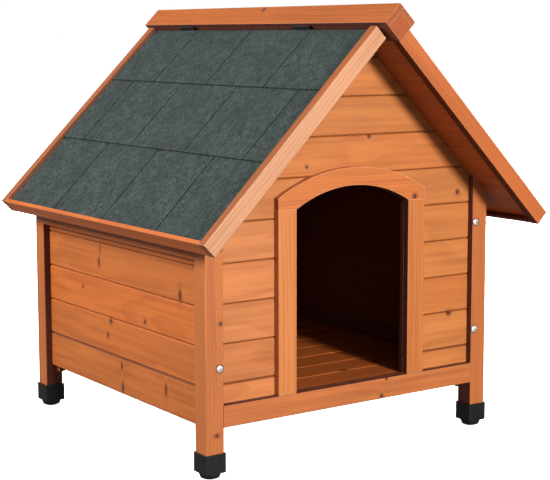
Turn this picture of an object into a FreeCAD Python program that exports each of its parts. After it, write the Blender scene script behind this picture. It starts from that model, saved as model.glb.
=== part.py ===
import FreeCAD, Part
import os
import re
import Sketcher
from FreeCAD import Placement, Rotation, Vector

# A pitched-roof dog house in glazed pine, with its left roof half hinged at the ridge
# and a screw foot under each post.
# Frame: X to the right, Y to the back and Z up, in millimetres. The origin is on the
# ground, under the middle of the whole house. The doorway looks towards -Y.

# Driving dimensions. Each one can be changed by itself.
SIZES = {
    # The body, over the faces of its posts.
    "body_wide": 605,
    "body_deep": 620,
    "ridge_top": 770,          # top of the ridge cap above the ground
    "fit_gap": 0.3,            # between pieces that are fitted together
    # Roof overhangs, measured from the faces of the posts.
    "front_overhang": 93.4,
    "rear_overhang": 23.8,
    "eave_overhang": 59.4,
    "cap_over_front": 21.4,    # ridge cap beyond the front barge boards
    "cap_over_rear": 17.5,
    # Posts, their plastic caps and the screw feet below.
    "post_side": 34,
    "edge_round": 1.5,
    "post_housing": 4,         # depth of the groove that holds the ends of the wall boards
    "cap_wall": 2.5,
    "cap_floor": 3,
    "cap_high": 32,
    "foot_high": 11,
    "foot_radius": 18,
    "foot_sole": 9,            # radius of the flat underneath
    "foot_rim": 2.5,           # straight part of the foot's side
    "foot_flats": 24,          # how many flats go round the foot
    "stud_radius": 5,
    "stud_long": 38,
    # Tongued wall boards, all of one section.
    "board_thick": 9.5,
    "board_pitch": 66,
    "board_bevel": 2.5,
    "tongue_long": 4,
    "tongue_thick": 3,
    "front_low": 88,           # bottom of the lowest board in the front and rear walls
    "side_low": 82,            # bottom of the lowest board in the side walls
    # Frame pieces nailed over the boards, flush with the posts.
    "trim_thick": 12.7,
    "sill_low": 85,
    "sill_high": 36.5,
    "side_rail_low": 360,
    # Doorway.
    "door_wide": 240,
    "door_shift": -3,          # the middle of the doorway lies this far to the right
    "door_spring": 433,        # where the jambs end and the arch starts
    "door_rise": 33,
    "jamb_wide": 37,
    "head_shoulder": 20,       # straight sides of the arched head
    "head_rise": 44,
    # Battens inside.
    "corner_batten": 12,
    "batten_drop": 12,         # corner battens hang this far below the side boards
    "gable_batten": 18,
    "bearer_wide": 24,
    "bearer_high": 20,
    "floor_drop": 1,           # floor below the top of the sill
    # Roof halves, measured square to the slope.
    "roof_drop": 3.3,          # barge boards below the face of the ridge cap
    "barge_deep": 29,
    "barge_thick": 18,
    "eave_thick": 8,
    "deck_drop": 10.5,         # deck below the top of the barge boards
    "deck_thick": 9.5,
    "roof_batten": 18,
    # Felt, laid in courses with slots that mark the tabs.
    "felt_thick": 2.5,
    "felt_lap": 30,
    "felt_edge_gap": 1,
    "course_one_end": 187,     # down the slope from the apex
    "course_two_end": 342,
    "tab_wide": 184,
    "tab_slot": 3,
    "slot_one": 161.8,         # first slot of each course, from the end of the roof
    "slot_two": 79.8,
    "slot_three": 176.8,
    # Ridge.
    "ridge_bar": 34,
    "cap_thick": 9.5,
    # Hinges in the gap between the left roof half and the ridge bar.
    "hinge_gap": 4.8,
    "hinge_long": 51,
    "hinge_spread": 380,
    "leaf_thick": 1.2,
    "leaf_deep": 28,
    "knuckle_radius": 2.1,
    "pin_radius": 1.1,
    "pin_clearance": 0.08,
    "pin_depth": 4.95,         # below the face of the ridge cap
}

# Heights and places that follow from the sizes. Slopes fall at 45 degrees, because the
# ridge bar is a square bar on its corner. Down a slope, "run" is the distance from the
# apex along the slope, and "sunk" is the depth below the face of the ridge cap.
PLACES = {
    "half_wide": "body_wide / 2",
    "half_post": "post_side / 2",
    "centre_back": "(front_overhang + cap_over_front - rear_overhang - cap_over_rear) / 2",
    "front_face": "centre_back - body_deep / 2",
    "rear_face": "centre_back + body_deep / 2",
    "post_inside": "half_wide - post_side",
    "side_between": "body_deep - 2 * post_side",
    "board_back": "trim_thick + board_thick",
    "batten_thick": "post_side - board_back",
    "side_face": "half_wide - trim_thick",
    "side_back": "half_wide - board_back",
    # Feet and caps.
    "cap_low": "foot_high + fit_gap",
    "cap_half": "half_post + fit_gap + cap_wall",
    "post_low": "cap_low + cap_floor",
    "stud_bore": "stud_radius + fit_gap",
    "bore_top": "foot_high + stud_long + 2 * fit_gap",
    # Roof, square to the slope.
    "deck_sunk": "roof_drop + deck_drop",
    "deck_under": "deck_sunk + deck_thick",
    "seat_sunk": "deck_under + fit_gap",
    "bar_run": "cap_thick + ridge_bar",
    "bar_under": "bar_run + fit_gap",
    "lid_run": "bar_run + hinge_gap",
    "pin_run": "bar_run + hinge_gap / 2",
    "eave_run": "(half_wide + eave_overhang) * sqrt(2) + roof_drop",
    "deck_run": "eave_run - eave_thick",
    "felt_run": "deck_run - felt_edge_gap",
    "gable_batten_run": "post_inside * sqrt(2) + seat_sunk",
    # On a slope, height plus distance from the middle is the same all the way down.
    "seat_top": "ridge_top - seat_sunk * sqrt(2)",
    "bar_low": "ridge_top - bar_under * sqrt(2)",
    # Along Y.
    "barge_front": "front_face - front_overhang",
    "barge_rear": "rear_face + rear_overhang",
    "deck_front": "barge_front + barge_thick",
    "deck_rear": "barge_rear - barge_thick",
    "deck_long": "deck_rear - deck_front",
    "cap_front": "barge_front - cap_over_front",
    "cap_long": "barge_rear + cap_over_rear - cap_front",
    "inside_front": "front_face + post_side + fit_gap",
    "inside_long": "body_deep - 2 * post_side - 2 * fit_gap",
    # Wall boards.
    "board_high": "board_pitch - fit_gap",
    "tongue_near": "(board_thick - tongue_thick) / 2",
    "tongue_far": "(board_thick + tongue_thick) / 2",
    "groove_deep": "tongue_long + fit_gap",
    "board_reach": "post_inside + post_housing - fit_gap",
    "sill_top": "sill_low + sill_high",
    "field_rows": "floor((door_spring - front_low) / board_pitch)",
    "field_top": "front_low + field_rows * board_pitch",
    "side_boards_long": "side_between - 2 * fit_gap",
    # Doorway.
    "door_half": "door_wide / 2",
    "door_left": "door_shift - door_half",
    "door_right": "door_shift + door_half",
    "door_radius": "(door_half^2 + door_rise^2) / (2 * door_rise)",
    "door_top": "door_spring + door_rise",
    "head_half": "door_half + jamb_wide",
    "head_radius": "(head_half^2 + head_rise^2) / (2 * head_rise)",
    "head_top": "door_spring + head_shoulder + head_rise",
    # Floor.
    "floor_top": "sill_top - floor_drop",
    "floor_low": "floor_top - board_thick",
    "floor_long": "body_deep - 2 * board_back - 2 * fit_gap",
    # Hinges.
    "knuckle_long": "hinge_long / 3",
}

SLOPE = 45
LEFT = -1
RIGHT = 1
ALONG_X = Vector(1, 0, 0)
ALONG_Y = Vector(0, 1, 0)
ALONG_Z = Vector(0, 0, 1)
HALF_TURN = Rotation(ALONG_Z, 180)

document = FreeCAD.newDocument("dog_house")
subparts = []


def named(text):
    """Write an expression's words as cells of the sheet or as worked-out places."""
    def full_name(match):
        word = match.group(0)
        if word in SIZES:
            return "sizes." + word
        if word in PLACES:
            return "places." + word
        return word
    return re.sub(r"[a-z_]+", full_name, text)


def bind(item, name, text):
    item.setExpression(name, named(text))


def move(item, x="0", y="0", z="0", rotation=None):
    """Turn an object, then tie its place to the sizes."""
    item.Placement = Placement(Vector(), rotation or Rotation())
    for axis, text in (("x", x), ("y", y), ("z", z)):
        if text != "0":
            bind(item, "Placement.Base." + axis, text)


def subpart(item, label):
    """Name an object as one of the pieces that the house is made of."""
    item.Label = label
    subparts.append(item)
    return item


# ---------------------------------------------------------------- sketched features

def new_body(name):
    return document.addObject("PartDesign::Body", name)


def origin_feature(body, role):
    """The plane or axis of a body's own origin that has a role, such as XY_Plane."""
    return next(item for item in body.Origin.OriginFeatures if item.Role == role)


def new_sketch(body, plane, name):
    sketch = body.newObject("Sketcher::SketchObject", name)
    sketch.AttachmentSupport = [(origin_feature(body, plane), "")]
    sketch.MapMode = "FlatFace"
    return sketch


def hold(sketch, geometry, point, x, y):
    """Tie a point of the sketch to a place given as two expressions."""
    for kind, text, axis in (("DistanceX", x, -2), ("DistanceY", y, -1)):
        if text == "0":
            sketch.addConstraint(Sketcher.Constraint("PointOnObject", geometry, point, axis))
        else:
            index = sketch.addConstraint(
                Sketcher.Constraint(kind, -1, 1, geometry, point, 1.0))
            bind(sketch, f"Constraints[{index}]", text)


def outline(body, plane, corners, name="outline"):
    """A closed sketch of straight lines through corners given as expressions."""
    sketch = new_sketch(body, plane, name)
    count = len(corners)
    turn = Rotation(ALONG_Z, 360 / count)
    start = Vector(100, 0, 0)
    for _ in corners:
        end = turn.multVec(start)
        sketch.addGeometry(Part.LineSegment(start, end))
        start = end
    for line in range(count):
        following = (line + 1) % count
        sketch.addConstraint(Sketcher.Constraint("Coincident", line, 2, following, 1))
    for line, (x, y) in enumerate(corners):
        hold(sketch, line, 1, x, y)
    return sketch


def circle(body, x, y, radius, name):
    """A sketch of a circle on the XY plane, about a centre given as expressions."""
    sketch = new_sketch(body, "XY_Plane", name)
    sketch.addGeometry(Part.Circle(Vector(10, 10, 0), ALONG_Z, 1))
    hold(sketch, 0, 3, x, y)
    index = sketch.addConstraint(Sketcher.Constraint("Radius", 0, 1.0))
    bind(sketch, f"Constraints[{index}]", radius)
    return sketch


def pad(body, sketch, length, reverse=False, both=False):
    feature = body.newObject("PartDesign::Pad", "pad")
    feature.Profile = sketch
    bind(feature, "Length", length)
    feature.Reversed = reverse
    feature.Midplane = both
    return feature


def pocket(body, sketch, length=None, reverse=False):
    """Cut a sketch into the body, right through unless a length is given."""
    feature = body.newObject("PartDesign::Pocket", "pocket")
    feature.Profile = sketch
    feature.Reversed = reverse
    if length:
        bind(feature, "Length", length)
    else:
        feature.Type = "ThroughAll"
    return feature


def pattern(body, features, axis, pitch, rows):
    """Repeat features along one axis of the body."""
    feature = body.newObject("PartDesign::LinearPattern", "pattern")
    feature.Originals = features
    feature.Direction = (origin_feature(body, axis), [""])
    feature.Mode = "Spacing"
    bind(feature, "Offset", pitch)
    bind(feature, "Occurrences", rows)
    body.Tip = feature
    return feature


def edges_along(shape, direction):
    """Names of the straight edges that run along a direction."""
    names = []
    for number, edge in enumerate(shape.Edges, 1):
        if isinstance(edge.Curve, Part.Line) and edge.Curve.Direction.cross(direction).Length < 1e-6:
            names.append(f"Edge{number}")
    return names


def ease(body, feature, direction, radius="edge_round"):
    """Round the arrises that run along a direction, as planed timber has them."""
    document.recompute()
    rounding = body.newObject("PartDesign::Fillet", "rounding")
    rounding.Base = (feature, edges_along(feature.Shape, direction))
    bind(rounding, "Radius", radius)


def prism(name, plane, corners, length, both=False):
    """A body padded from an outline, towards +X, +Y or +Z."""
    body = new_body(name)
    feature = pad(body, outline(body, plane, corners), length, plane == "XZ_Plane", both)
    return body, feature


def rectangle(left, right, low, high):
    return [(left, low), (right, low), (right, high), (left, high)]


def fuse(name, items):
    joined = document.addObject("Part::MultiFuse", name)
    joined.Shapes = items
    return joined


def cut(name, base, tool):
    result = document.addObject("Part::Cut", name)
    result.Base = base
    result.Tool = tool
    return result


def common(name, base, tool):
    result = document.addObject("Part::Common", name)
    result.Base = base
    result.Tool = tool
    return result


def box(name, x, y, z, long, wide, high):
    """A box with its lowest corner at x, y, z."""
    item = document.addObject("Part::Box", name)
    for side, text in (("Length", long), ("Width", wide), ("Height", high)):
        bind(item, side, text)
    move(item, x, y, z)
    return item


def rod_along_y(name, x, y, z, radius, long):
    item = document.addObject("Part::Cylinder", name)
    bind(item, "Radius", radius)
    bind(item, "Height", long)
    move(item, x, y, z, Rotation(ALONG_X, -90))
    return item


# ---------------------------------------------------------------- places of the walls

def on_end_wall(item, end, depth="0"):
    """Stand an object in the front or rear wall. Its local y is the depth inside the
    outer face of the posts. The rear wall is the front one turned half round."""
    if end == "front":
        move(item, y=f"front_face + ({depth})")
    else:
        move(item, y=f"rear_face - ({depth})", rotation=HALF_TURN)


def on_side_wall(item, side, depth):
    """Stand an object in a side wall. Its local x runs along the wall, from its middle."""
    turn = Rotation(ALONG_Z, 90 * side)
    move(item, f"{side} * (half_wide - ({depth}))", "centre_back", rotation=turn)


def on_slope(item, side, y_near, y_far):
    """Lay an object on a roof slope: local x down the slope from the apex, local z
    square to the slope from the face of the ridge cap, and local y along the ridge."""
    if side == RIGHT:
        move(item, "0", y_near, "ridge_top", Rotation(ALONG_Y, SLOPE))
    else:
        move(item, "0", y_far, "ridge_top", Rotation(ALONG_Y, -SLOPE) * HALF_TURN)


# ---------------------------------------------------------------- posts and feet

def local_side(side, end):
    """The rear wall is turned half round, so its right-hand post is on the local left."""
    return side if end == "front" else -side


def post(side, end):
    """A square post: top cut to the pitch, a groove for the wall boards, and a bore from
    below for the stud of the foot."""
    label = f"post_{end}_{side_name(side)}"
    hand = local_side(side, end)
    outer = f"{hand} * half_wide"
    inner = f"{hand} * post_inside"
    corners = [
        (outer, "post_low"),
        (inner, "post_low"),
        (inner, "seat_top - post_inside"),
        (outer, "seat_top - half_wide"),
    ]
    body, shaft = prism(label, "XZ_Plane", corners, "post_side")
    ease(body, shaft, ALONG_Z)
    groove_end = f"{hand} * (post_inside + post_housing)"
    groove_start = f"{hand} * (post_inside - post_housing)"
    groove = outline(body, "XZ_Plane",
                     rectangle(groove_start, groove_end, "front_low", "seat_top"), "groove")
    bind(groove, "AttachmentOffset.Base.z", "-(trim_thick - fit_gap)")
    pocket(body, groove, "board_thick + 2 * fit_gap")
    bore = circle(body, f"{hand} * (half_wide - half_post)", "half_post", "stud_bore", "bore")
    pocket(body, bore, "bore_top", True)
    on_end_wall(subpart(body, label), end)


def foot_cap(side, end):
    """A moulded cap pushed on the post, with a hole in its floor for the stud."""
    label = f"foot_cap_{end}_{side_name(side)}"
    half = "cap_half"
    body, shell = prism(label, "XY_Plane", rectangle("-" + half, half, "-" + half, half),
                        "cap_high")
    ease(body, shell, ALONG_Z, "cap_wall")
    socket_half = "(half_post + fit_gap)"
    socket = outline(body, "XY_Plane",
                     rectangle("-" + socket_half, socket_half, "-" + socket_half, socket_half),
                     "socket")
    bind(socket, "AttachmentOffset.Base.z", "cap_floor")
    pocket(body, socket, "cap_high", True)
    pocket(body, circle(body, "0", "0", "stud_bore", "stud_hole"), "cap_floor", True)
    stand_under(subpart(body, label), side, end, "cap_low")


def stand_under(item, side, end, height):
    """Put an object under the middle of a post."""
    depth = "front_face + half_post" if end == "front" else "rear_face - half_post"
    move(item, f"{side} * (half_wide - half_post)", depth, height)


def moulded_foot():
    """A domed foot with narrow flats for the fingers, moulded round a stud."""
    body = new_body("moulded_foot")
    pad(body, circle(body, "0", "0", "foot_radius + foot_rim", "blank"), "foot_high")
    outside = [
        ("foot_sole", "0"),
        ("foot_radius - foot_rim", "foot_rim"),
        ("foot_radius", "foot_high - foot_rim"),
        ("foot_radius", "foot_high"),
        ("2 * foot_radius", "foot_high"),
        ("2 * foot_radius", "0"),
    ]
    flat = pocket(body, outline(body, "XZ_Plane", outside, "flat"))
    flat.Midplane = True
    ring = body.newObject("PartDesign::PolarPattern", "ring")
    ring.Originals = [flat]
    ring.Axis = (origin_feature(body, "Z_Axis"), [""])
    bind(ring, "Occurrences", "foot_flats")
    body.Tip = ring
    pad(body, circle(body, "0", "0", "stud_radius", "stud"), "foot_high + stud_long")
    return body


def levelling_foot(moulding, side, end):
    """One of the four feet, which are all alike."""
    label = f"levelling_foot_{end}_{side_name(side)}"
    foot = document.addObject("Part::Compound", label)
    foot.Links = [moulding]
    stand_under(subpart(foot, label), side, end, "0")


# ---------------------------------------------------------------- boarded walls

def board_stack(name, long, low, rows):
    """Tongued boards, one above the other, along local x. The outer face is at y = 0,
    and each seam shows as a V there."""
    profile = [
        ("0", "board_bevel"),
        ("board_bevel", "0"),
        ("tongue_near - fit_gap", "0"),
        ("tongue_near - fit_gap", "groove_deep"),
        ("tongue_far + fit_gap", "groove_deep"),
        ("tongue_far + fit_gap", "0"),
        ("board_thick", "0"),
        ("board_thick", "board_high"),
        ("tongue_far", "board_high"),
        ("tongue_far", "board_high + tongue_long"),
        ("tongue_near", "board_high + tongue_long"),
        ("tongue_near", "board_high"),
        ("board_bevel", "board_high"),
        ("0", "board_high - board_bevel"),
    ]
    body, board = prism(name, "YZ_Plane", profile, long, both=True)
    pattern(body, [board], "Z_Axis", "board_pitch", rows)
    move(body, z=low)
    return body


def end_wall_boards(label, end, low, rows, corners=None, doorway=None):
    """Boards of the front or rear wall. Corners outline the part of the wall that the
    boards fill, seen from outside."""
    stack = board_stack(label + "_stack", "2 * board_reach", low, rows)
    boards = common(label + "_gabled", stack, gable(label + "_gable"))
    if corners:
        shape, _ = prism(label + "_outline", "XZ_Plane", corners, "4 * board_thick", both=True)
        boards = common(label + "_shaped", boards, shape)
    if doorway:
        boards = cut(label + "_arched", boards, doorway)
    on_end_wall(subpart(boards, label), end, "trim_thick")


def gable(name):
    """A whole end wall as a solid: upright between the posts, cut to the pitch, notched
    at the top for the ridge bar."""
    notch = "(seat_top - bar_low) / 2"
    notch_high = "(seat_top + bar_low) / 2"
    corners = [
        ("-board_reach", "front_low"),
        ("board_reach", "front_low"),
        ("board_reach", "seat_top - board_reach"),
        (notch, notch_high),
        ("0", "bar_low"),
        ("-" + notch, notch_high),
        ("-board_reach", "seat_top - board_reach"),
    ]
    shape, _ = prism(name, "XZ_Plane", corners, "4 * board_thick", both=True)
    return shape


def doorway_space(name, deep):
    """The doorway as a solid, flat below and round above, centred on local y = 0."""
    upright = box(name + "_upright", "door_left", f"-({deep}) / 2", "sill_top",
                  "door_wide", deep, "door_top - sill_top")
    round_top = rod_along_y(name + "_round", "door_shift", f"-({deep}) / 2",
                            "door_top - door_radius", "door_radius", deep)
    return common(name, upright, round_top)


def front_wall():
    apron = rectangle("-board_reach", "board_reach", "front_low", "sill_top - fit_gap")
    end_wall_boards("front_apron_board", "front", "front_low", "1", apron)
    field_high = "field_top + tongue_long"
    left = rectangle("-board_reach", "door_left", "sill_top + fit_gap", field_high)
    end_wall_boards("front_boards_left", "front", "front_low", "field_rows", left)
    right = rectangle("door_right", "board_reach", "sill_top + fit_gap", field_high)
    end_wall_boards("front_boards_right", "front", "front_low", "field_rows", right)
    rows = "ceil((seat_top - field_top) / board_pitch)"
    doorway = doorway_space("gable_doorway", "4 * board_thick")
    end_wall_boards("front_gable_boards", "front", "field_top", rows, doorway=doorway)


def rear_wall():
    rows = "ceil((seat_top - front_low) / board_pitch)"
    end_wall_boards("rear_boards", "rear", "front_low", rows)


def side_wall(side):
    """Side boards with their top edge bevelled to the pitch, and the rail over them."""
    label = f"side_boards_{side_name(side)}"
    rows = "ceil((seat_top - side_back - side_low) / board_pitch)"
    stack = board_stack(label + "_stack", "side_boards_long", "side_low", rows)
    bevel = [
        ("-trim_thick", "0"),
        ("board_thick + trim_thick", "0"),
        ("board_thick + trim_thick", "seat_top - side_back + trim_thick"),
        ("-trim_thick", "seat_top - side_face - trim_thick"),
    ]
    shape, _ = prism(label + "_outline", "YZ_Plane", bevel, "body_deep", both=True)
    on_side_wall(subpart(common(label, stack, shape), label), side, "trim_thick")

    rail_label = f"side_top_rail_{side_name(side)}"
    section = [
        ("0", "side_rail_low"),
        ("trim_thick", "side_rail_low"),
        ("trim_thick", "seat_top - side_face"),
        ("0", "seat_top - half_wide"),
    ]
    rail, bar = prism(rail_label, "YZ_Plane", section, "side_boards_long", both=True)
    ease(rail, bar, ALONG_X, "edge_round / 2")
    on_side_wall(subpart(rail, rail_label), side, "0")


def sill(end):
    label = f"{end}_sill"
    reach = "(post_inside - fit_gap)"
    body, bar = prism(label, "XZ_Plane", rectangle("-" + reach, reach, "sill_low", "sill_top"),
                      "trim_thick")
    ease(body, bar, ALONG_X)
    on_end_wall(subpart(body, label), end)


def corner_batten(side, end):
    """The batten that the side boards are nailed to, behind the post."""
    label = f"corner_batten_{end}_{side_name(side)}"
    hand = local_side(side, end)
    corners = rectangle(f"{hand} * post_inside", f"{hand} * side_back",
                        "side_low - batten_drop", "seat_top - side_back - corner_batten / 2")
    body, _ = prism(label, "XZ_Plane", corners, "corner_batten")
    on_end_wall(subpart(body, label), end, "post_side + fit_gap")


def gable_batten(side, end):
    """The batten along the pitch that joins the gable boards inside."""
    label = f"gable_batten_{end}_{side_name(side)}"
    low = "-(seat_sunk + gable_batten)"
    corners = rectangle("bar_under", "gable_batten_run", low, "-seat_sunk")
    body, _ = prism(label, "XZ_Plane", corners, "batten_thick")
    if end == "front":
        near = "front_face + board_back"
    else:
        near = "rear_face - post_side"
    on_slope(subpart(body, label), side, near, near + " + batten_thick")


# ---------------------------------------------------------------- doorway trim

def door_jamb(side):
    label = f"door_jamb_{side_name(side)}"
    if side == LEFT:
        corners = rectangle("door_left - jamb_wide", "door_left", "sill_top", "door_spring")
    else:
        corners = rectangle("door_right", "door_right + jamb_wide", "sill_top", "door_spring")
    body, bar = prism(label, "XZ_Plane", corners, "trim_thick")
    ease(body, bar, ALONG_Z)
    on_end_wall(subpart(body, label), "front")


def door_head():
    """The arched head over the doorway, with a flatter arc above than below."""
    blank = box("head_blank", "door_shift - head_half", "0", "door_spring",
                "2 * head_half", "trim_thick", "head_top - door_spring")
    outer_round = rod_along_y("head_round", "door_shift", "0", "head_top - head_radius",
                              "head_radius", "trim_thick")
    arched = common("head_arched", blank, outer_round)
    board = cut("head_board", arched, doorway_space("head_doorway", "4 * trim_thick"))
    on_end_wall(subpart(board, "door_head"), "front")


# ---------------------------------------------------------------- floor

def floor_boards():
    """The same boards laid flat, left to right, with their V side up."""
    rows = "ceil(floor_long / board_pitch)"
    stack = board_stack("floor_stack", "2 * (post_inside - fit_gap)", "0", rows)
    reach = "(post_inside - fit_gap)"
    shape, _ = prism("floor_outline", "XZ_Plane", rectangle("-" + reach, reach, "0", "floor_long"),
                     "4 * board_thick", both=True)
    boards = common("floor_boards", stack, shape)
    move(subpart(boards, "floor_boards"), "0", "front_face + board_back + fit_gap", "floor_top",
         Rotation(ALONG_X, -90))


def floor_bearer(name, near, wide, start, long):
    """A bearer from front to back under the floor."""
    label = f"floor_bearer_{name}"
    corners = rectangle("0", wide, "floor_low - bearer_high", "floor_low")
    body, _ = prism(label, "XZ_Plane", corners, long)
    move(subpart(body, label), near, start)


def floor_bearers():
    between_battens = "inside_front + corner_batten + fit_gap"
    batten_span = "inside_long - 2 * (corner_batten + fit_gap)"
    floor_bearer("left", "-side_back", "bearer_wide", between_battens, batten_span)
    floor_bearer("right", "side_back - bearer_wide", "bearer_wide", between_battens, batten_span)
    floor_bearer("middle", "-bearer_wide / 2", "bearer_wide",
                 "front_face + board_back + fit_gap", "floor_long")


# ---------------------------------------------------------------- roof

def roof_board(label, side, corners, y_near, y_far, rounded=False):
    """A straight piece of a roof half, from its section down the slope."""
    body, bar = prism(label, "XZ_Plane", corners, f"{y_far} - ({y_near})")
    if rounded:
        ease(body, bar, rounded)
    on_slope(subpart(body, label), side, y_near, y_far)


def felt_course(name, start, end, exposed, first_slot, lapped):
    """One course of felt. Its lower edge lies on the next course, and slots mark tabs."""
    if lapped:
        lift = f"(felt_thick + fit_gap) * ({end} - ({start})) / ({end} - ({start}) - felt_lap)"
    else:
        lift = "fit_gap"
    corners = [
        (start, "-deck_sunk"),
        (end, f"-deck_sunk + {lift}"),
        (end, f"-deck_sunk + {lift} + felt_thick"),
        (start, "-deck_sunk + felt_thick"),
    ]
    body, _ = prism(name, "XZ_Plane", corners, "deck_long - 2 * felt_edge_gap")
    slot = outline(body, "XY_Plane",
                   rectangle(exposed, end + " + tab_slot", first_slot, first_slot + " + tab_slot"),
                   "slot")
    slot_cut = pocket(body, slot)
    rows = f"floor((deck_long - {first_slot}) / tab_wide) + 1"
    pattern(body, [slot_cut], "Y_Axis", "tab_wide", rows)
    return body


def felt(side, top):
    name = f"roof_{side_name(side)}_felt"
    second = "course_one_end - felt_lap"
    third = "course_two_end - felt_lap"
    courses = [
        felt_course(name + "_top", top, "course_one_end", top + " + tab_slot",
                    "slot_one", True),
        felt_course(name + "_middle", second, "course_two_end",
                    "course_one_end - tab_slot", "slot_two", True),
        felt_course(name + "_bottom", third, "felt_run",
                    "course_two_end - tab_slot", "slot_three", False),
    ]
    group = document.addObject("Part::Compound", name)
    group.Links = courses
    on_slope(subpart(group, name), side, "deck_front + felt_edge_gap", "deck_rear - felt_edge_gap")


def roof_half(side):
    """One roof half: a framed deck under felt. The left half ends short of the ridge bar,
    and the right half meets it."""
    name = f"roof_{side_name(side)}"
    top = "lid_run" if side == LEFT else "bar_under"
    barge = rectangle(top, "eave_run", "-(roof_drop + barge_deep)", "-roof_drop")
    roof_board(name + "_barge_front", side, barge, "barge_front", "deck_front", ALONG_X)
    roof_board(name + "_barge_rear", side, barge, "deck_rear", "barge_rear", ALONG_X)
    eave = rectangle("deck_run", "eave_run", "-(roof_drop + barge_deep)", "-roof_drop")
    roof_board(name + "_eave_board", side, eave, "deck_front", "deck_rear", ALONG_Y)
    deck = rectangle(top, "deck_run", "-deck_under", "-deck_sunk")
    roof_board(name + "_deck", side, deck, "deck_front", "deck_rear")
    batten = rectangle(top, top + " + roof_batten", "-(deck_under + roof_batten)", "-deck_under")
    roof_board(name + "_batten", side, batten, "inside_front", "inside_front + inside_long")
    felt(side, top)


def ridge():
    """A square bar on its corner, under a cap of two boards that lap at the apex."""
    bar = rectangle("cap_thick", "bar_run", "-bar_run", "-cap_thick")
    roof_board("ridge_bar", LEFT, bar, "cap_front", "cap_front + cap_long", ALONG_Y)
    left_leg = rectangle("0", "bar_run", "-cap_thick", "0")
    roof_board("ridge_cap_left", LEFT, left_leg, "cap_front", "cap_front + cap_long")
    right_leg = rectangle("cap_thick", "bar_run", "-cap_thick", "0")
    roof_board("ridge_cap_right", RIGHT, right_leg, "cap_front", "cap_front + cap_long")


# ---------------------------------------------------------------- hinges

def knuckle(name, first, radius, count=1):
    """A barrel round the pin, from a third of the hinge's length."""
    return rod_along_y(name, "pin_run", f"{first} * knuckle_long + fit_gap", "-pin_depth",
                       radius, f"{count} * knuckle_long - 2 * fit_gap")


def knuckle_space(name, first):
    return rod_along_y(name, "pin_run", f"{first} * knuckle_long", "-pin_depth",
                       "knuckle_radius + fit_gap", "knuckle_long")


def hinge(name, place):
    """A butt hinge let in between the ridge bar and the end of the left roof half."""
    near = f"centre_back + ({place}) * hinge_spread / 2 - hinge_long / 2"
    far = near + " + hinge_long"
    bore = rod_along_y(name + "_bore", "pin_run", "0", "-pin_depth",
                       "pin_radius + pin_clearance", "hinge_long")

    plate = box(name + "_fixed_plate", "bar_run", "0", "-(pin_depth + leaf_deep)",
                "leaf_thick", "hinge_long", "leaf_deep")
    barrels = [knuckle(f"{name}_barrel_{third}", third, "knuckle_radius") for third in (0, 2)]
    fixed = fuse(name + "_fixed_blank", [plate] + barrels)
    fixed_space = fuse(name + "_fixed_space", [bore, knuckle_space(name + "_space_1", 1)])
    fixed_leaf = cut(name + "_fixed", fixed, fixed_space)
    on_slope(subpart(fixed_leaf, name + "_fixed_leaf"), LEFT, near, far)

    plate = box(name + "_moving_plate", "lid_run - leaf_thick", "0", "-(pin_depth + leaf_deep)",
                "leaf_thick", "hinge_long", "leaf_deep")
    moving = fuse(name + "_moving_blank", [plate, knuckle(name + "_barrel_1", 1, "knuckle_radius")])
    spaces = [knuckle_space(f"{name}_space_{third}", third) for third in (0, 2)]
    moving_space = fuse(name + "_moving_space", [bore] + spaces)
    moving_leaf = cut(name + "_moving", moving, moving_space)
    on_slope(subpart(moving_leaf, name + "_moving_leaf"), LEFT, near, far)

    pin = rod_along_y(name + "_rod", "pin_run", "0", "-pin_depth", "pin_radius", "hinge_long")
    seated = fuse(name + "_pin_seated", [pin, pin_head(name, "-leaf_thick"),
                                         pin_head(name, "hinge_long")])
    on_slope(subpart(seated, name + "_pin"), LEFT, near, far)


def pin_head(name, start):
    return rod_along_y(name + "_head", "pin_run", start, "-pin_depth",
                       "knuckle_radius - fit_gap", "leaf_thick")


# ---------------------------------------------------------------- the whole house

def side_name(side):
    return "left" if side == LEFT else "right"


def keep_sizes():
    """The sheet of driving sizes, and the places that follow from them."""
    sheet = document.addObject("Spreadsheet::Sheet", "sizes")
    for row, (name, value) in enumerate(SIZES.items(), 1):
        sheet.set(f"A{row}", str(value))
        sheet.setAlias(f"A{row}", name)
    document.recompute()
    places = document.addObject("App::VarSet", "places")
    for name in PLACES:
        places.addProperty("App::PropertyFloat", name, "Places")
    for name, text in PLACES.items():
        bind(places, name, text)
    document.recompute()


def build():
    keep_sizes()
    moulding = moulded_foot()
    for end in ("front", "rear"):
        for side in (LEFT, RIGHT):
            post(side, end)
            foot_cap(side, end)
            levelling_foot(moulding, side, end)
            corner_batten(side, end)
            gable_batten(side, end)
        sill(end)
    front_wall()
    rear_wall()
    for side in (LEFT, RIGHT):
        side_wall(side)
        door_jamb(side)
        roof_half(side)
    door_head()
    floor_boards()
    floor_bearers()
    ridge()
    hinge("hinge_front", "-1")
    hinge("hinge_rear", "1")
    document.recompute()


def check():
    """Stop unless every object was built and every piece is a valid solid."""
    for item in document.Objects:
        if "Invalid" in item.State or "Error" in item.State:
            raise RuntimeError(f"{item.Name} failed to build")
    for item in subparts:
        shape = item.Shape
        if shape.isNull() or not shape.isValid() or not shape.Solids:
            raise RuntimeError(f"{item.Label} is not a valid solid")


def write():
    os.makedirs("parts", exist_ok=True)
    for item in subparts:
        item.Shape.exportStep(f"parts/{item.Label}.step")
    print(len(subparts), "sub-parts written")


build()
check()
write()
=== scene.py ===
import math

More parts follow.
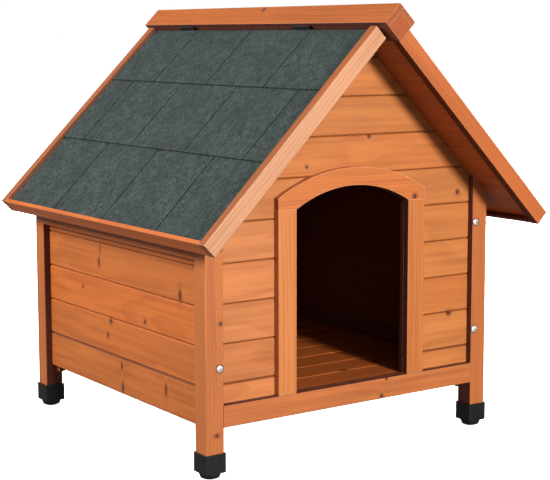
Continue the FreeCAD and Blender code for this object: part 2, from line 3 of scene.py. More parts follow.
import bmesh
import bpy
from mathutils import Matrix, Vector


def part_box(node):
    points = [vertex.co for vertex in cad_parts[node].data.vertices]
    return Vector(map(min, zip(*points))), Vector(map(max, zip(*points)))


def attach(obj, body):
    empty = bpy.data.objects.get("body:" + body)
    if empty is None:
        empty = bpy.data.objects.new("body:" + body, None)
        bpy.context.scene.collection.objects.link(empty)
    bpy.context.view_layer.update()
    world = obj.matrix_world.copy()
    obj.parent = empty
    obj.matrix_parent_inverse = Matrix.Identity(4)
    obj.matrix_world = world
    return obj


# Looks for the dog house: glazed pine, mineral felt and black plastic feet, in metres.

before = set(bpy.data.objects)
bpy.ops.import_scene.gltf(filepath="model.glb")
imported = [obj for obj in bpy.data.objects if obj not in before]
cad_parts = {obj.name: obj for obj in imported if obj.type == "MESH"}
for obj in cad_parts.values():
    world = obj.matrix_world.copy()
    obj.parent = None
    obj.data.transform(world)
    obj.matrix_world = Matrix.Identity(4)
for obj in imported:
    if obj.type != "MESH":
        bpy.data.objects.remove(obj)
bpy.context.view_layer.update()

X, Y, Z = Vector((1, 0, 0)), Vector((0, 1, 0)), Vector((0, 0, 1))
DOWN_LEFT = Vector((-1, 0, -1)).normalized()     # down the left roof slope
DOWN_RIGHT = Vector((1, 0, -1)).normalized()

SIDES = ("left", "right")
ENDS = ("front", "rear")


def linear(red, green, blue):
    """A colour given as sRGB screen values from 0 to 255, in linear light."""
    def channel(value):
        value /= 255
        if value <= 0.04045:
            return value / 12.92
        return ((value + 0.055) / 1.055) ** 2.4
    return (channel(red), channel(green), channel(blue), 1)


# ---------------------------------------------------------------- shader helpers

class Shader:
    """A material and short ways to add nodes to it. Values are sockets or numbers."""

    def __init__(self, name):
        self.material = bpy.data.materials.new(name)
        self.material.use_nodes = True
        self.tree = self.material.node_tree
        self.tree.nodes.clear()
        self.output = self.tree.nodes.new("ShaderNodeOutputMaterial")
        self.surface = self.tree.nodes.new("ShaderNodeBsdfPrincipled")
        self.tree.links.new(self.surface.outputs[0], self.output.inputs["Surface"])

    def set(self, socket, value):
        if isinstance(value, bpy.types.NodeSocket):
            self.tree.links.new(value, socket)
        else:
            socket.default_value = value

    def node(self, kind, **properties):
        made = self.tree.nodes.new("ShaderNode" + kind)
        for name, value in properties.items():
            setattr(made, name, value)
        return made

    def math(self, operation, first, second=0.0, third=0.0, clamp=False):
        made = self.node("Math", operation=operation, use_clamp=clamp)
        for socket, value in zip(made.inputs, (first, second, third)):
            self.set(socket, value)
        return made.outputs[0]

    def vector(self, operation, first, second=(0, 0, 0)):
        made = self.node("VectorMath", operation=operation)
        self.set(made.inputs[0], first)
        self.set(made.inputs[1], second)
        return made.outputs["Value" if operation in ("DOT_PRODUCT", "LENGTH") else "Vector"]

    def join(self, x, y, z):
        made = self.node("CombineXYZ")
        for socket, value in zip(made.inputs, (x, y, z)):
            self.set(socket, value)
        return made.outputs[0]

    def split(self, value):
        made = self.node("SeparateXYZ")
        self.set(made.inputs[0], value)
        return made.outputs

    def ramp(self, value, start, end, low=0.0, high=1.0):
        """A smooth step of value from start to end, mapped to low and high."""
        made = self.node("MapRange", interpolation_type="SMOOTHSTEP")
        for socket, number in zip(made.inputs, (value, start, end, low, high)):
            self.set(socket, number)
        return made.outputs[0]

    def swing(self, value, spread):
        """A factor round 1 from a value between 0 and 1. spread is how far its ends lie apart."""
        return self.math("MULTIPLY_ADD", value, spread, 1 - spread / 2)

    def mix(self, factor, first, second, blend="MIX"):
        made = self.node("Mix", data_type="RGBA", blend_type=blend)
        self.set(made.inputs["Factor"], factor)
        self.set(made.inputs[6], first)
        self.set(made.inputs[7], second)
        return made.outputs[2]

    def tinted(self, colour, tint):
        """A colour times a tint, which is a socket or three numbers."""
        if isinstance(tint, tuple):
            tint = (*tint, 1)
        return self.mix(1.0, colour, tint, "MULTIPLY")

    def noise(self, vector, scale=1.0, detail=2.0, roughness=0.5):
        made = self.node("TexNoise")
        self.set(made.inputs["Vector"], vector)
        self.set(made.inputs["Scale"], scale)
        self.set(made.inputs["Detail"], detail)
        self.set(made.inputs["Roughness"], roughness)
        return made.outputs["Fac"]

    def random(self, value):
        """Three random numbers from one."""
        made = self.node("TexWhiteNoise", noise_dimensions="1D")
        self.set(made.inputs["W"], value)
        return self.split(made.outputs["Color"])

    def place(self):
        """Where the shaded point is in its object's frame, for a CAD node the row frame at rest."""
        return self.node("TexCoord").outputs["Object"]

    def facing(self):
        """The surface's normal in the same frame."""
        return self.node("TexCoord").outputs["Normal"]

    def bump(self, height, strength, distance, normal=None):
        made = self.node("Bump")
        made.inputs["Strength"].default_value = strength
        made.inputs["Distance"].default_value = distance
        self.set(made.inputs["Height"], height)
        if normal is not None:
            self.set(made.inputs["Normal"], normal)
        return made.outputs[0]

    def soft_edges(self, radius):
        made = self.node("Bevel", samples=4)
        made.inputs["Radius"].default_value = radius
        return made.outputs[0]

    def finish(self, colour, roughness, normal=None, **constants):
        """Fills in the surface. constants go to its other sockets, with _ for a space."""
        sockets = self.surface.inputs
        self.set(sockets["Base Color"], colour)
        self.set(sockets["Roughness"], roughness)
        if normal is not None:
            self.set(sockets["Normal"], normal)
        for name, value in constants.items():
            sockets[name.replace("_", " ")].default_value = value
        return self.material


# ---------------------------------------------------------------- pine

EARLY = linear(180, 108, 58)  # wood grown early in a year
LATE = linear(142, 75, 31)    # wood grown late in it
ARRIS_HIGHLIGHT = linear(236, 184, 156)  # painted highlight along the arrises
SEAM_GLAZE_AND_SHADE = linear(104, 46, 16)  # glaze gathered in the seams, and painted shade there
KNOT = linear(58, 22, 8)
COLLAR = linear(112, 52, 22)  # ring of dark wood round a knot
# black of bitumen, and painted shade in the slots of the felt
BITUMEN_AND_SHADE = linear(22, 23, 23)
END_GRAIN_AND_SHADE = (0.8, 0.66, 0.55)           # what cut ends keep of each colour: glaze soaked up, and painted shade
PAINTED_CABIN_SHADE = (0.27, 0.14, 0.08)   # painted shade: what the faces towards the cabin keep of each colour
CABIN = (0.0, 0.035, 0.45)    # middle of the cabin

RING = 0.0052                 # between growth rings
PITH_BACK = 0.045             # least distance from the frame's origin to a board's pith line
PITH_BACK_RANGE = 0.05        # the most that chance adds to it
PITH_SIDE_RANGE = 0.07        # where chance may place the pith line across the board
START_RANGE = 17.0            # where chance may start a board's grain
PIECE_RANGE = 91.0            # of the seeds of single pieces
WANDER = 0.034                # how far the rings wander along a board
RIPPLE = 0.0024               # and how far they waver
NO_KNOT = 99.0                # far from every knot, in knot radii
SEAM_HALF = 0.0008            # half the width of a seam between boards
ARRIS = 0.0014                # radius of the soft edges

# Noise cells in a metre, along the grain and across it.
WANDER_NOISE = (1.6, 7.0)
RIPPLE_NOISE = (9.0, 40.0)
FIBRE_NOISE = (22.0, 1250.0)
STREAK_NOISE = (3.0, 110.0)
BLOTCH_NOISE = (5.0, 16.0)

# How much each kind of grain darkens the wood, and how much the glaze varies round its mean.
LATE_SHARE = 0.24
FIBRE_SHARE = 0.34
BLOTCH_SPREAD = 0.3
BOARD_SPREAD = 0.16
GREEN_SPREAD = -0.14          # of the green on redder boards
BLUE_SPREAD = -0.3

# Smooth steps: start, end and, unless they are 0 and 1, the values there.
LATE_RISE = (0.2, 0.86)       # of late wood across a growth ring
LATE_FALL = (1.0, 0.9)
STREAK_STEP = (0.34, 0.74, 0.0, 0.46)
BEND_STEP = (4.0, 0.8, 0.0, 0.005)      # of the rings round a knot, in knot radii
COLLAR_STEP = (2.6, 0.8, 0.0, 0.6)
KNOT_STEP = (1.4, 0.5, 0.0, 0.85)
SHEEN_STEP = (0.6, 0.9)         # of the painted sheen, from faces along the house to its front and rear faces
CUT_STEP = (0.75, 0.95)       # from faces along the grain to cut ends
UPPER_STEP = (0.4, 0.6)       # from other faces to upper ones
OUTER_STEP = (-0.03, 0.03)    # of the painted shade, from faces towards the cabin to outer ones
TURN_STEP = (0.01, 0.16)      # of the painted highlight where the soft edges turn away from the face
STREAK_HIGHLIGHT_STEP = (0.25, 0.55, 0.5, 1.0)      # of the painted highlight by the streaks

HIGHLIGHT_MOST = 0.6                    # most of the painted highlight on an arris, at full strength
GLAZE_ROUGH = 0.4
STREAK_ROUGH = 0.2            # added by the streaks
INSIDE_ROUGH = 0.85
LATE_RELIEF = 0.6             # height of late wood against the fibres'
GRAIN_BUMP = (0.25, 0.0004)   # strength and depth


class Grain:
    """Where the shaded point is in its board: u along the grain, v across and w through.
    boards is (low, pitch) of a boarded wall on the across direction, and gives each board
    its own grain. Without it each piece has its own."""

    def __init__(self, s, along, across, boards, seed):
        place = s.place()
        self.axes = (along, across, along.cross(across))
        self.u, self.v, self.w = (s.vector("DOT_PRODUCT", place, axis) for axis in self.axes)
        if boards:
            low, pitch = boards
            index = s.math("FLOOR", s.math("DIVIDE", s.math("SUBTRACT", self.v, low), pitch))
            middle = s.math("MULTIPLY_ADD", s.math("ADD", index, 0.5), pitch, low)
            self.board_v = s.math("SUBTRACT", self.v, middle)
            own = s.math("ADD", index, seed)
        else:
            self.board_v = self.v
            piece = s.node("ObjectInfo").outputs["Random"]
            own = s.math("MULTIPLY_ADD", piece, PIECE_RANGE, seed)
        self.chance = s.random(own)

        far_u = s.math("MULTIPLY_ADD", self.chance[0], START_RANGE, self.u)
        aside = s.math("SUBTRACT", self.chance[1], 0.5)
        self.off_v = s.math("MULTIPLY_ADD", aside, PITH_SIDE_RANGE, self.board_v)
        back = s.math("MULTIPLY_ADD", self.chance[2], PITH_BACK_RANGE, PITH_BACK)
        self.deep_w = s.math("ADD", back, self.w)
        self.local = s.join(far_u, self.off_v, self.deep_w)

    def noise(self, s, scales, **settings):
        lengthwise, crosswise = scales
        stretched = s.vector("MULTIPLY", self.local, (lengthwise, crosswise, crosswise))
        return s.noise(stretched, **settings)


def knot_ratio(s, grain, knots):
    """The distance from the nearest knot, in its radii."""
    ratio = NO_KNOT
    for x, y, z, radius, stretch in knots:
        centre = Vector((x, y, z))
        u, v, w = (s.math("SUBTRACT", value, centre.dot(axis))
                   for value, axis in zip((grain.u, grain.v, grain.w), grain.axes))
        away = s.vector("LENGTH", s.join(u, s.math("DIVIDE", v, stretch), w))
        ratio = s.math("MINIMUM", ratio, s.math("DIVIDE", away, radius))
    return ratio


def late_wood(s, grain, knots, ratio):
    """How much late wood there is, from 0 to 1. The growth rings lie round a pith line that
    wanders beside the board, and they bend round knots."""
    wander = grain.noise(s, WANDER_NOISE, detail=3.0)
    ripple = grain.noise(s, RIPPLE_NOISE, detail=2.0)
    radius = s.vector("LENGTH", s.join(0.0, grain.off_v, grain.deep_w))
    radius = s.math("MULTIPLY_ADD", wander, WANDER, radius)
    radius = s.math("MULTIPLY_ADD", ripple, RIPPLE, radius)
    if knots:
        radius = s.math("ADD", radius, s.ramp(ratio, *BEND_STEP))
    phase = s.math("FRACT", s.math("DIVIDE", radius, RING))
    return s.math("MULTIPLY", s.ramp(phase, *LATE_RISE), s.ramp(phase, *LATE_FALL))


def glaze(s, grain, varied, tone):
    """The tint of the glaze. It is uneven, and boards differ in lightness and redness."""
    light = s.swing(grain.noise(s, BLOTCH_NOISE, detail=2.0), BLOTCH_SPREAD)
    light = s.math("MULTIPLY", light, s.swing(grain.chance[0], BOARD_SPREAD * varied))
    red = s.math("MULTIPLY", grain.chance[1], varied)
    green_part = s.math("MULTIPLY", light, s.swing(red, GREEN_SPREAD))
    blue_part = s.math("MULTIPLY", light, s.swing(red, BLUE_SPREAD))
    return s.vector("MULTIPLY", s.join(light, green_part, blue_part), tone)


def pine(name, along, across, boards=None, knots=(), seed=0.0, tone=(1, 1, 1), varied=1.0,
         arris_highlight=1.0, seams=0.7, shaded=True, sheen_tone=None, topped=False):
    """Glazed pine with its grain along one direction.
    boards: (low, pitch), which tell where the boards of a wall lie on the across direction.
    knots: (x, y, z, radius, stretch) each, in the row frame, stretched across the grain.
    tone: a factor of the colour. A second factor, after shaded, is a painted sheen on the faces to
    the front and rear.
    varied: how much the boards or pieces differ.
    The argument after varied is how strong the painted highlight along the arrises is.
    seams: how much of the seams' colour, gathered glaze and painted shade, the seams between boards
    have.
    shaded: with painted shade, darker and rougher, on the faces towards the cabin.
    topped: with an upper face black, as bitumen and as painted shade, which shows in the slots of the
    felt."""
    s = Shader(name)
    grain = Grain(s, along, across, boards, seed)
    normal = s.facing()
    ratio = knot_ratio(s, grain, knots)
    late = late_wood(s, grain, knots, ratio)
    fibre = grain.noise(s, FIBRE_NOISE, detail=2.0, roughness=0.7)
    streak = grain.noise(s, STREAK_NOISE, detail=3.0, roughness=0.6)

    darkness = s.math("MULTIPLY_ADD", late, LATE_SHARE, s.ramp(streak, *STREAK_STEP))
    uneven = s.math("SUBTRACT", fibre, 0.5)
    darkness = s.math("MULTIPLY_ADD", uneven, FIBRE_SHARE, darkness, clamp=True)
    colour = s.mix(darkness, EARLY, LATE)
    # Painted sheen: the faces to the front and rear take the second tone.
    if sheen_tone:
        endwise = s.math("ABSOLUTE", s.vector("DOT_PRODUCT", normal, Y))
        tone = s.mix(s.ramp(endwise, *SHEEN_STEP), (*tone, 1), (*sheen_tone, 1))
    colour = s.tinted(colour, glaze(s, grain, varied, tone))
    if boards:
        # Half the pitch, less the distance from the board's middle, is how near a seam is.
        near = s.math("SUBTRACT", boards[1] / 2, s.math("ABSOLUTE", grain.board_v))
        # The seams take gathered glaze and painted shade.
        colour = s.mix(s.ramp(near, SEAM_HALF * 2, SEAM_HALF / 2, 0.0, seams), colour, SEAM_GLAZE_AND_SHADE)
    if knots:
        colour = s.mix(s.ramp(ratio, *COLLAR_STEP), colour, COLLAR)
        colour = s.mix(s.ramp(ratio, *KNOT_STEP), colour, KNOT)

    # Cut ends soak up more of the glaze, and the darkening is also painted shade.
    lengthwise = s.math("ABSOLUTE", s.vector("DOT_PRODUCT", normal, along))
    colour = s.mix(s.ramp(lengthwise, *CUT_STEP), colour, s.tinted(colour, END_GRAIN_AND_SHADE))

    rough = s.math("MULTIPLY_ADD", streak, STREAK_ROUGH, GLAZE_ROUGH)
    # Painted shade: the faces towards the cabin are darkened and made rougher.
    if shaded:
        outward = s.vector("DOT_PRODUCT", normal, s.vector("SUBTRACT", s.place(), CABIN))
        colour = s.mix(s.ramp(outward, *OUTER_STEP), s.tinted(colour, PAINTED_CABIN_SHADE), colour)
        rough = s.math("MAXIMUM", rough, s.ramp(outward, *OUTER_STEP, INSIDE_ROUGH, 0.0))

    soft = s.soft_edges(ARRIS)
    # Painted highlight: paler where the soft edges turn away from the face.
    if arris_highlight:
        flat = s.node("NewGeometry").outputs["True Normal"]
        turned = s.math("SUBTRACT", 1.0, s.vector("DOT_PRODUCT", soft, flat))
        glint = s.math("MULTIPLY", s.ramp(turned, *TURN_STEP), s.ramp(streak, *STREAK_HIGHLIGHT_STEP))
        colour = s.mix(s.math("MULTIPLY", glint, HIGHLIGHT_MOST * arris_highlight, clamp=True), colour, ARRIS_HIGHLIGHT)

    # Black upper faces: bitumen, and painted shade in the slots of the felt.
    if topped:
        upward = s.vector("DOT_PRODUCT", normal, Z)
        colour = s.mix(s.ramp(upward, *UPPER_STEP), colour, BITUMEN_AND_SHADE)

    height = s.math("MULTIPLY_ADD", late, LATE_RELIEF, fibre)
    return s.finish(colour, rough, s.bump(height, *GRAIN_BUMP, soft),
                    IOR=1.45, Coat_Weight=0.1, Coat_Roughness=0.35)


# ---------------------------------------------------------------- felt

FELT_DARK = linear(20, 26, 26)
FELT_LIGHT = linear(62, 72, 70)
FELT_SPECK = linear(84, 93, 88)
FELT_STAIN = linear(30, 38, 36)
GRANULES = 480.0              # cells in a metre
GRANULE_SHARE = 0.5           # in the felt's lightness
CLOUD_SHARE = 1.5
CLOUD_BASE = -0.55
SPECK_STEP = (0.86, 0.9, 0.0, 0.4)
STAIN_STEP = (0.35, 0.7, 0.0, 0.45)
GRANULE_RELIEF = 0.5          # how much the granules differ in height
GRANULE_BUMP = (0.7, 0.0007)


def felt_material(name):
    """Grey-green mineral granules pressed in bitumen."""
    s = Shader(name)
    place = s.place()
    granules = s.node("TexVoronoi", voronoi_dimensions="3D")
    s.set(granules.inputs["Vector"], place)
    granules.inputs["Scale"].default_value = GRANULES
    luck = s.split(granules.outputs["Color"])
    stain = s.noise(place, scale=16.0, detail=4.0, roughness=0.6)
    cloud = s.noise(place, scale=75.0, detail=3.0, roughness=0.7)
    clouded = s.math("MULTIPLY_ADD", cloud, CLOUD_SHARE, CLOUD_BASE)
    colour = s.mix(s.math("MULTIPLY_ADD", luck[0], GRANULE_SHARE, clouded), FELT_DARK, FELT_LIGHT)
    colour = s.mix(s.ramp(luck[1], *SPECK_STEP), colour, FELT_SPECK)
    colour = s.mix(s.ramp(stain, *STAIN_STEP), colour, FELT_STAIN)
    raised = s.math("MULTIPLY", luck[2], GRANULE_RELIEF)
    height = s.math("SUBTRACT", raised, granules.outputs["Distance"])
    return s.finish(colour, roughness=0.92, normal=s.bump(height, *GRANULE_BUMP),
                    Specular_IOR_Level=0.3)


# ---------------------------------------------------------------- plastic and metal

PLASTIC = linear(11, 10, 10)
PLASTIC_SCUFFED = linear(27, 25, 25)
SCUFF_STEP = (0.5, 0.8, 0.0, 0.5)
PLASTIC_ROUGH = (0.2, 0.38)   # the noise's share, and the least
PLASTIC_EDGE = 0.0006         # radius of the soft edges
PLASTIC_BUMP = (0.25, 0.0002)

METAL_EDGE = 0.0003
METAL_BUMP = (0.1, 0.0002)
BRONZE = (linear(26, 21, 18), linear(46, 37, 30))
BRONZE_ROUGH = (0.3, 0.3)
ZINC = (linear(196, 194, 190), linear(232, 230, 226))
ZINC_ROUGH = (0.2, 0.42)
# painted shade in a screw's cross recess
RECESS_SHADE = linear(52, 44, 40)
# painted shade round a screw's head
COUNTERSINK_SHADE = (linear(84, 50, 34), linear(120, 80, 60))

RECESS_WIDTH = 0.0013         # one arm of the cross in a screw's head
RECESS_REACH = 0.0027         # from the cross's middle to the end of an arm
RECESS_EDGE = RECESS_REACH / 10         # over which the recess fades out


def plastic_material(name):
    """Black moulded plastic with a fine spark-eroded grain."""
    s = Shader(name)
    grain = s.noise(s.place(), scale=1600.0, detail=2.0)
    scuff = s.noise(s.place(), scale=60.0, detail=4.0)
    colour = s.mix(s.ramp(scuff, *SCUFF_STEP), PLASTIC, PLASTIC_SCUFFED)
    rough = s.math("MULTIPLY_ADD", scuff, *PLASTIC_ROUGH)
    normal = s.bump(grain, *PLASTIC_BUMP, s.soft_edges(PLASTIC_EDGE))
    return s.finish(colour, rough, normal, Specular_IOR_Level=0.35)


def bronze_material(name):
    """Dark bronze lacquer on pressed steel."""
    s = Shader(name)
    cloud = s.noise(s.place(), scale=180.0, detail=3.0)
    rough = s.math("MULTIPLY_ADD", cloud, *BRONZE_ROUGH)
    normal = s.bump(cloud, *METAL_BUMP, s.soft_edges(METAL_EDGE))
    return s.finish(s.mix(cloud, *BRONZE), rough, normal, Metallic=0.4)


def zinc_material(name):
    """Zinc-plated steel with a faint spangle, and painted shade where the cross recess of a screw is.
    """
    s = Shader(name)
    place = s.place()
    cloud = s.noise(place, scale=240.0, detail=3.0)
    x, z = (s.math("ABSOLUTE", s.split(place)[axis]) for axis in "XZ")
    in_width = s.ramp(s.math("MINIMUM", x, z), RECESS_WIDTH / 2, RECESS_WIDTH / 3)
    in_reach = s.ramp(s.math("MAXIMUM", x, z), RECESS_REACH, RECESS_REACH - RECESS_EDGE)
    # Painted shade of the cross recess.
    colour = s.mix(s.math("MULTIPLY", in_width, in_reach), s.mix(cloud, *ZINC), RECESS_SHADE)
    rough = s.math("MULTIPLY_ADD", cloud, *ZINC_ROUGH)
    normal = s.bump(cloud, *METAL_BUMP, s.soft_edges(METAL_EDGE))
    return s.finish(colour, rough, normal, Metallic=0.7)


def countersink_shade_material(name):
    """Painted shade round a screw, in its countersink."""
    s = Shader(name)
    stain = s.noise(s.place(), scale=500.0, detail=3.0)
    return s.finish(s.mix(stain, *COUNTERSINK_SHADE), roughness=0.8)


# ---------------------------------------------------------------- which node gets which

floor_low, floor_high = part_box("floor_boards")

PITCH = 0.066                 # between the seams of boards
SEAM_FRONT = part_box("rear_boards")[0].z          # bottom of the lowest board at both ends
SEAM_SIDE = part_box("side_boards_left")[0].z

WALL_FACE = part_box("front_boards_left")[0].y     # outer face of the front boards
TRIM_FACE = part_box("front_sill")[0].y            # outer face of the sill, jambs, head and posts
SIDE_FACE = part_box("side_boards_left")[0].x      # outer face of the left boards
FLOOR_FACE = floor_high.z     # top of the floor boards

# Knots, each with x, y, z, its radius and its stretch across the grain.
GABLE_KNOTS = [
    (0.038, WALL_FACE, 0.547, 0.003, 1.0),
    (-0.094, WALL_FACE, 0.501, 0.0026, 1.0),
    (0.242, WALL_FACE, 0.438, 0.0036, 1.2),
]
RIGHT_KNOTS = [
    (0.2245, WALL_FACE, 0.2176, 0.005, 0.8),
]
CROSS_KNOTS = [               # in the head and the sill
    (0.131, TRIM_FACE, 0.4384, 0.0042, 1.0),
    (0.0705, TRIM_FACE, 0.1199, 0.0026, 1.0),
    (0.0595, TRIM_FACE, 0.090, 0.0034, 1.0),
]
SIDE_KNOTS = [
    (SIDE_FACE, 0.1115, 0.3107, 0.003, 2.6),
    (SIDE_FACE, 0.106, 0.3350, 0.0017, 4.0),
    (SIDE_FACE, -0.1738, 0.2903, 0.004, 2.4),
    (SIDE_FACE, 0.0689, 0.2087, 0.0042, 1.0),
    (SIDE_FACE, -0.0551, 0.2272, 0.0032, 1.0),
    (SIDE_FACE, 0.0812, 0.181, 0.003, 1.3),
    (SIDE_FACE, 0.1763, 0.2573, 0.0026, 1.0),
    (SIDE_FACE, 0.0302, 0.1334, 0.0028, 2.2),
    (SIDE_FACE, 0.0277, 0.0937, 0.0034, 2.4),
    (SIDE_FACE, -0.1243, 0.121, 0.003, 3.0),
]
POST_KNOTS = [
    (-0.2738, TRIM_FACE, 0.2577, 0.003, 1.0),
    (-0.2821, TRIM_FACE, 0.0738, 0.003, 1.4),
]
CAP_KNOTS = [(-0.005, -0.004, 0.765, 0.004, 1.0)]
FLOOR_KNOTS = [(0.0466, -0.1799, FLOOR_FACE, 0.006, 0.8)]

# Tones multiply the colour of the pine, piece by piece.
HONEY = (0.96, 0.92, 0.72)
FRAME_TONE = (0.87, 0.72, 0.55)
SIDE_TONE = (0.95, 0.74, 0.42)
INNER_TONE = (0.5, 0.34, 0.24)
LEFT_JAMB_TONE = (1.08, 1.03, 0.85)
RIGHT_JAMB_TONE = (0.83, 0.78, 0.6)
HEAD_TONE = (1.0, 0.87, 0.64)
FLOOR_TONE = (0.9, 0.62, 0.32)
RIDGE_TONE = (0.74, 0.6, 0.36)
LEFT_BARGE_TONE = (0.62, 0.5, 0.36)
LEFT_BARGE_SHEEN = (1.02, 1.42, 2.5)          # painted sheen: paler on the faces to the front and rear
RIGHT_BARGE_TONE = (0.85, 0.64, 0.42)
DECK_TONE = (0.85, 0.62, 0.5)

TRIM_HIGHLIGHT = 1.5               # painted highlight on the arrises round the doorway
SIDE_SEAMS = 0.35
FLOOR_SEAMS = 0.95


def put(nodes, material):
    for name in nodes:
        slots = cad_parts[name].data.materials
        slots.clear()
        slots.append(material)


def walls():
    end_boards = (SEAM_FRONT, PITCH)
    side_boards = (SEAM_SIDE, PITCH)
    put(["front_boards_left"], pine("pine_front_left", X, Z, end_boards, seed=3.0, arris_highlight=0))
    put(["front_boards_right"],
        pine("pine_front_right", X, Z, end_boards, RIGHT_KNOTS, seed=7.0, tone=HONEY, arris_highlight=0))
    put(["front_gable_boards", "front_apron_board"],
        pine("pine_gable", X, Z, end_boards, GABLE_KNOTS, seed=13.0, tone=HONEY, arris_highlight=0))
    put(["rear_boards"],
        pine("pine_rear_boards", X, Z, end_boards, seed=40.0, tone=HONEY, arris_highlight=0))
    put(["side_boards_left"],
        pine("pine_left_boards", Y, Z, side_boards, SIDE_KNOTS, seed=60.0, tone=SIDE_TONE,
             arris_highlight=0, seams=SIDE_SEAMS))
    put(["side_boards_right"],
        pine("pine_right_boards", Y, Z, side_boards, seed=80.0, tone=SIDE_TONE, arris_highlight=0,
             seams=SIDE_SEAMS))


def posts_and_trim():
    put([f"post_{end}_{side}" for end in ENDS for side in SIDES],
        pine("pine_posts", Z, X, knots=POST_KNOTS, seed=5.0, tone=FRAME_TONE, varied=0.4))
    put(["door_jamb_left"],
        pine("pine_jamb_left", Z, X, seed=11.0, tone=LEFT_JAMB_TONE, arris_highlight=TRIM_HIGHLIGHT))
    put(["door_jamb_right"],
        pine("pine_jamb_right", Z, X, seed=12.0, tone=RIGHT_JAMB_TONE, arris_highlight=TRIM_HIGHLIGHT))
    put(["door_head"],
        pine("pine_head", X, Z, knots=CROSS_KNOTS, seed=23.0, tone=HEAD_TONE, arris_highlight=TRIM_HIGHLIGHT))
    put([f"side_top_rail_{side}" for side in SIDES],
        pine("pine_side_rails", Y, Z, seed=17.0, tone=SIDE_TONE))
    put(["front_sill", "rear_sill"],
        pine("pine_sills", X, Z, knots=CROSS_KNOTS, seed=23.0, tone=FRAME_TONE, varied=0.4))


def floor_and_battens():
    put([f"corner_batten_{end}_{side}" for end in ENDS for side in SIDES],
        pine("pine_battens", Z, X, seed=29.0, tone=INNER_TONE))
    put([f"floor_bearer_{name}" for name in ("left", "middle", "right")],
        pine("pine_bearers", Y, Z, seed=31.0, tone=INNER_TONE))
    put(["floor_boards"],
        pine("pine_floor", X, Y, (floor_low.y, PITCH), FLOOR_KNOTS, seed=37.0, tone=FLOOR_TONE,
             arris_highlight=0, seams=FLOOR_SEAMS, shaded=False))


def roof():
    put(["ridge_bar", "ridge_cap_left"],
        pine("pine_ridge_left", Y, DOWN_LEFT, knots=CAP_KNOTS, seed=41.0, tone=RIDGE_TONE))
    put(["ridge_cap_right"], pine("pine_ridge_right", Y, DOWN_RIGHT, seed=43.0, tone=RIDGE_TONE))
    put([f"roof_left_barge_{end}" for end in ENDS],
        pine("pine_left_barges", DOWN_LEFT, Y, seed=47.0, tone=LEFT_BARGE_TONE, varied=0.3,
             sheen_tone=LEFT_BARGE_SHEEN))
    put([f"roof_right_barge_{end}" for end in ENDS],
        pine("pine_right_barges", DOWN_RIGHT, Y, seed=48.0, tone=RIGHT_BARGE_TONE, varied=0.3))
    for side, down in zip(SIDES, (DOWN_LEFT, DOWN_RIGHT)):
        put([f"gable_batten_{end}_{side}" for end in ENDS],
            pine(f"pine_{side}_gable_battens", down, Y, seed=49.0, tone=INNER_TONE))
        put([f"roof_{side}_eave_board"],
            pine(f"pine_{side}_eave", Y, down, seed=53.0, tone=SIDE_TONE))
        put([f"roof_{side}_batten", f"roof_{side}_deck"],
            pine(f"pine_{side}_deck", Y, down, seed=57.0, tone=DECK_TONE, arris_highlight=0,
                 shaded=False, topped=True))
        put([f"roof_{side}_felt"], felt_material(f"felt_{side}"))


def feet_and_hinges():
    put([f"{name}_{end}_{side}" for name in ("foot_cap", "levelling_foot")
         for end in ENDS for side in SIDES], plastic_material("black_plastic"))
    put([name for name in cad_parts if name.startswith("hinge_")],
        bronze_material("dark_bronze"))


# ---------------------------------------------------------------- frame screws

SCREW_RADIUS = 0.0058
SCREW_HIGH = 0.0022
RING_RADIUS = 0.008           # of the painted shade round the head
RING_HIGH = 0.0002
RING_LEVELS = 2               # bands of faces that the ring has: its rim and its top
SCREW_INSET = 0.0265          # from the outer side of the post
SCREW_HEIGHTS = (0.184, 0.382)          # above the ground
SCREW_TURNS = 32              # corners round the head
DOME_STEPS = 7


def screw_profile():
    """Radius and height of each circle of a screw head, from the wood to its crown."""
    profile = [(RING_RADIUS, 0.0), (RING_RADIUS, RING_HIGH), (SCREW_RADIUS, RING_HIGH)]
    for step in range(1, DOME_STEPS):
        angle = math.pi / 2 * step / DOME_STEPS
        profile.append((SCREW_RADIUS * math.cos(angle), RING_HIGH + SCREW_HIGH * math.sin(angle)))
    return profile


def screw_head(name):
    """A domed head on a thin ring of painted shade, standing along -Y from the origin."""
    mesh = bpy.data.meshes.new(name)
    mesh.materials.append(zinc_material("zinc"))
    mesh.materials.append(countersink_shade_material("painted_countersink_shade"))
    zinc, shade_ring = range(2)
    shape = bmesh.new()
    circles = []
    for reach, high in screw_profile():
        circle = []
        for turn in range(SCREW_TURNS):
            around = 2 * math.pi * turn / SCREW_TURNS
            point = (reach * math.cos(around), -high, reach * math.sin(around))
            circle.append(shape.verts.new(point))
        circles.append(circle)
    for level, (low, high) in enumerate(zip(circles, circles[1:])):
        for turn in range(SCREW_TURNS):
            following = (turn + 1) % SCREW_TURNS
            face = shape.faces.new((low[turn], low[following], high[following], high[turn]))
            face.material_index = shade_ring if level < RING_LEVELS else zinc
            face.smooth = level >= RING_LEVELS
    shape.faces.new(circles[-1]).smooth = True
    shape.faces.new(reversed(circles[0])).material_index = shade_ring
    shape.to_mesh(mesh)
    shape.free()
    return mesh


def frame_screws():
    """Two screws in the outer face of each post, at the front and at the rear."""
    mesh = screw_head("frame_screw_head")
    for end in ENDS:
        for side, sign in zip(SIDES, (-1, 1)):
            low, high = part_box(f"post_{end}_{side}")
            outer = low.x if side == "left" else high.x
            face = low.y if end == "front" else high.y
            for number, height in enumerate(SCREW_HEIGHTS, 1):
                head = bpy.data.objects.new(f"frame_screw_{end}_{side}_{number}", mesh)
                bpy.context.scene.collection.objects.link(head)
                head.location = (outer - sign * SCREW_INSET, face, height)
                if end == "rear":
                    head.rotation_euler = (0, 0, math.pi)
                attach(head, "house")


# ---------------------------------------------------------------- floor, light, camera

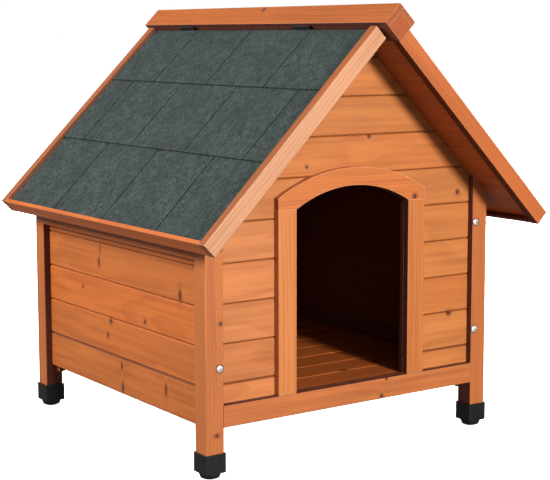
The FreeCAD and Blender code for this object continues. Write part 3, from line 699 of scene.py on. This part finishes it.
GROUND_REACH = 9.0
GROUND_WHITE = 0.9
GROUND_GLOW = 0.9             # keeps the floor pale to its far end

SKY_SEEN = 1.0                # brightness of the surround as seen
SKY_CAST = 0.22               # and as a light
LAMP_TARGET = (0, 0, 0.4)

CAMERA_PLACE = (-1.4965, -2.2002, 0.7179)
CAMERA_TURN = 35.43           # to the right of straight ahead, in degrees
CAMERA_FALL = 7.23            # below the level
CAMERA_LENS = 94.33           # in millimetres, as is the sensor's width
CAMERA_SENSOR = 36
CAMERA_SHIFT = (-0.0376, -0.0391)


def ground():
    """A pale floor, which can be looked through from below."""
    mesh = bpy.data.meshes.new("ground")
    reach = GROUND_REACH
    mesh.from_pydata([(-reach, -reach, 0), (reach, -reach, 0), (reach, reach, 0), (-reach, reach, 0)],
                     [], [(0, 1, 2, 3)])
    plane = bpy.data.objects.new("ground", mesh)
    bpy.context.scene.collection.objects.link(plane)
    plane.visible_diffuse = False
    plane.visible_glossy = False
    s = Shader("pale_ground")
    s.finish((GROUND_WHITE, GROUND_WHITE, GROUND_WHITE, 1), roughness=0.9,
             Emission_Color=(1, 1, 1, 1), Emission_Strength=GROUND_GLOW)
    clear = s.node("BsdfTransparent")
    sides = s.node("MixShader")
    s.set(sides.inputs[0], s.node("NewGeometry").outputs["Backfacing"])
    s.set(sides.inputs[1], s.surface.outputs[0])
    s.set(sides.inputs[2], clear.outputs[0])
    s.set(s.output.inputs["Surface"], sides.outputs[0])
    mesh.materials.append(s.material)


def surround():
    """A white surround that is dimmer as a light than it looks."""
    world = bpy.data.worlds.new("studio")
    world.use_nodes = True
    tree = world.node_tree
    background = tree.nodes["Background"]
    background.inputs["Color"].default_value = (1, 1, 1, 1)
    path = tree.nodes.new("ShaderNodeLightPath")
    level = tree.nodes.new("ShaderNodeMapRange")
    level.inputs["To Min"].default_value = SKY_CAST
    level.inputs["To Max"].default_value = SKY_SEEN
    tree.links.new(path.outputs["Is Camera Ray"], level.inputs["Value"])
    tree.links.new(level.outputs["Result"], background.inputs["Strength"])
    bpy.context.scene.world = world


def lamp(name, place, size, power):
    """A round soft lamp, size metres wide, that points at the house."""
    light = bpy.data.lights.new(name, "AREA")
    light.shape = "DISK"
    light.size = size
    light.energy = power
    stand = bpy.data.objects.new(name, light)
    stand.location = place
    aim = Vector(LAMP_TARGET) - Vector(place)
    stand.rotation_euler = aim.to_track_quat("-Z", "Y").to_euler()
    stand.visible_camera = False
    bpy.context.scene.collection.objects.link(stand)


def studio():
    surround()
    lamp("key", (-0.16, -4.4, 1.6), size=0.75, power=306)
    lamp("fill", (-1.6, -3.4, 1.0), size=2.4, power=11)
    lamp("left", (-2.9, 0.55, 2.05), size=1.4, power=176)
    lamp("right", (3.2, 0.2, 1.3), size=1.4, power=130)
    lamp("rear", (2.0, 3.4, 0.9), size=1.6, power=200)


def camera():
    data = bpy.data.cameras.new("camera")
    data.sensor_width = CAMERA_SENSOR
    data.lens = CAMERA_LENS
    data.shift_x, data.shift_y = CAMERA_SHIFT
    view = bpy.data.objects.new("camera", data)
    view.location = CAMERA_PLACE
    view.rotation_euler = (math.radians(90 - CAMERA_FALL), 0, -math.radians(CAMERA_TURN))
    bpy.context.scene.collection.objects.link(view)
    bpy.context.scene.camera = view


walls()
posts_and_trim()
floor_and_battens()
roof()
feet_and_hinges()
frame_screws()
ground()
studio()
camera()
bpy.context.scene.view_settings.view_transform = "Standard"
